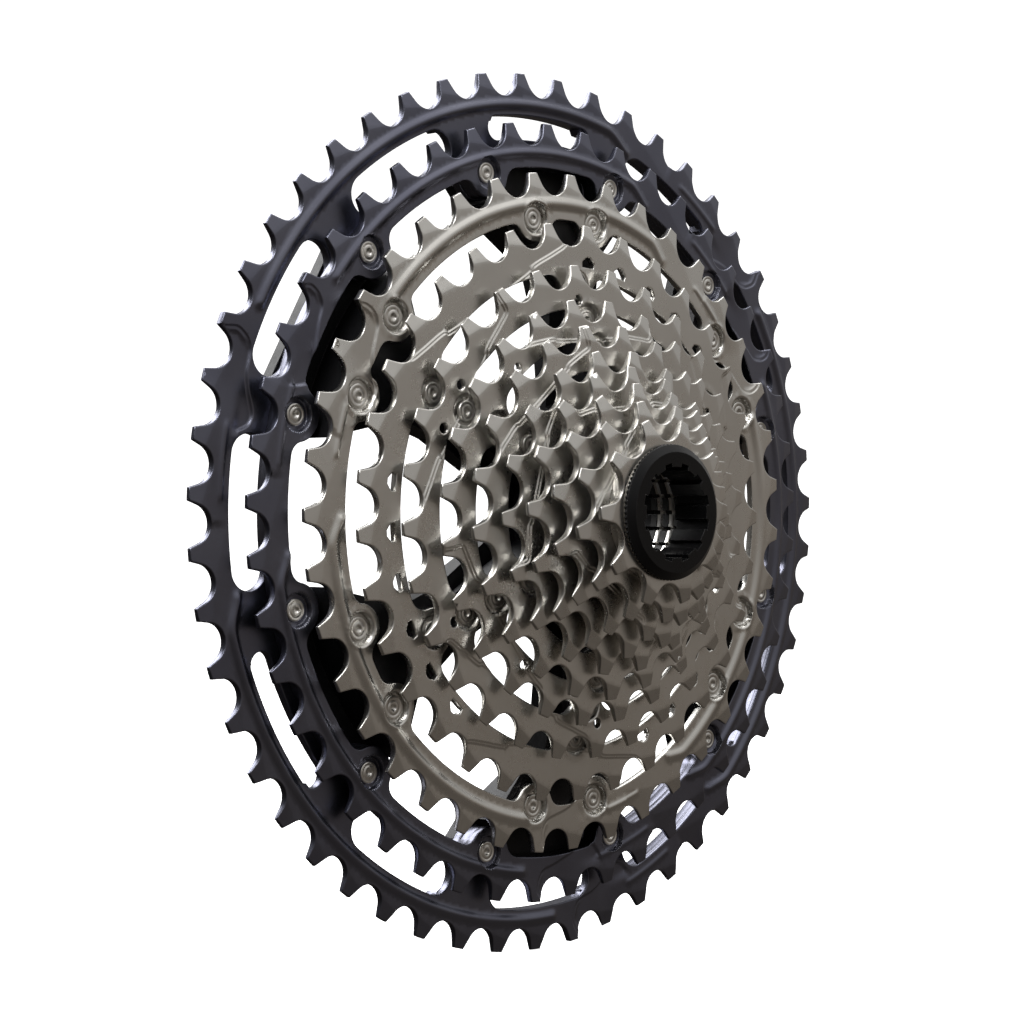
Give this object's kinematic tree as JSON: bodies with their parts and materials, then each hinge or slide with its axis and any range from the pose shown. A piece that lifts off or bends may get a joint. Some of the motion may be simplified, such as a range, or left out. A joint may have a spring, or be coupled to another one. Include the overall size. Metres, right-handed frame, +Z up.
{
  "type": "cassette sprocket",
  "caption": "Bicycle cassette: a cone of graded chain sprockets on riveted spiders and a splined bore, held by a lock ring.",
  "frame": {"origin": "centre of the splined bore at its rear face, where the cassette stands against the freehub's shoulder", "axes": "+Y along the axle, from the small sprockets towards the large one; +Z up; +X to the right seen from the small sprockets"},
  "size_m": [0.2084, 0.0494, 0.2083],
  "materials": {
    "dark_anodised_aluminium": "satin dark slate anodised",
    "nickel_plated_steel": "satin nickel plate",
    "rivet_steel": "satin",
    "spacer_plastic": "matte black",
    "washer_steel": "satin",
    "lock_ring_black": "satin black anodised",
    "spider_black": "satin black anodised"
  },
  "bodies": {
    "large_unit": {"large_spider_hub": "spider_black", "large_spider_arms": "spider_black", "sprocket_51": "dark_anodised_aluminium", "sprocket_45": "dark_anodised_aluminium", "sprocket_39": "nickel_plated_steel", "sprocket_33": "nickel_plated_steel", "rivets_45": "rivet_steel", "rivets_39": "rivet_steel", "rivets_33": "rivet_steel"},
    "middle_unit": {"small_spider_hub": "spider_black", "small_spider_arms": "spider_black", "sprocket_28": "nickel_plated_steel", "sprocket_24": "nickel_plated_steel", "sprocket_21": "nickel_plated_steel", "rivets_28": "rivet_steel", "rivets_24": "rivet_steel", "rivets_21": "rivet_steel"},
    "stack_18": {"spacer_21_18": "spacer_plastic", "sprocket_18": "nickel_plated_steel"},
    "stack_16": {"spacer_18_16": "spacer_plastic", "sprocket_16": "nickel_plated_steel"},
    "stack_14": {"spacer_16_14": "spacer_plastic", "sprocket_14": "nickel_plated_steel"},
    "stack_12": {"spacer_14_12": "spacer_plastic", "sprocket_12": "nickel_plated_steel"},
    "stack_10": {"sprocket_10": "nickel_plated_steel"},
    "washer": {"lock_ring_washer": "washer_steel"},
    "lock_ring": {"lock_ring": "lock_ring_black"}
  },
  "joints": [
    {"name": "middle_unit_slide", "type": "slide", "parent": "large_unit", "child": "middle_unit", "axis": [0, -1, 0], "range_m": [0, 0.012]},
    {"name": "stack_18_slide", "type": "slide", "parent": "middle_unit", "child": "stack_18", "axis": [0, -1, 0], "range_m": [0, 0.012]},
    {"name": "stack_16_slide", "type": "slide", "parent": "stack_18", "child": "stack_16", "axis": [0, -1, 0], "range_m": [0, 0.012]},
    {"name": "stack_14_slide", "type": "slide", "parent": "stack_16", "child": "stack_14", "axis": [0, -1, 0], "range_m": [0, 0.012]},
    {"name": "stack_12_slide", "type": "slide", "parent": "stack_14", "child": "stack_12", "axis": [0, -1, 0], "range_m": [0, 0.012]},
    {"name": "stack_10_slide", "type": "slide", "parent": "stack_12", "child": "stack_10", "axis": [0, -1, 0], "range_m": [0, 0.012]},
    {"name": "washer_slide", "type": "slide", "parent": "stack_10", "child": "washer", "axis": [0, -1, 0], "range_m": [0, 0.00551]},
    {"name": "lock_ring_turn", "type": "hinge", "parent": "washer", "child": "lock_ring", "pos_m": [0, 0, 0], "axis": [0, -1, 0], "range_deg": [0, 1980]}
  ],
  "couplings": [
    {"joint": "washer_slide", "follows": "lock_ring_turn", "m_per_rad": 0.00015915}
  ]
}
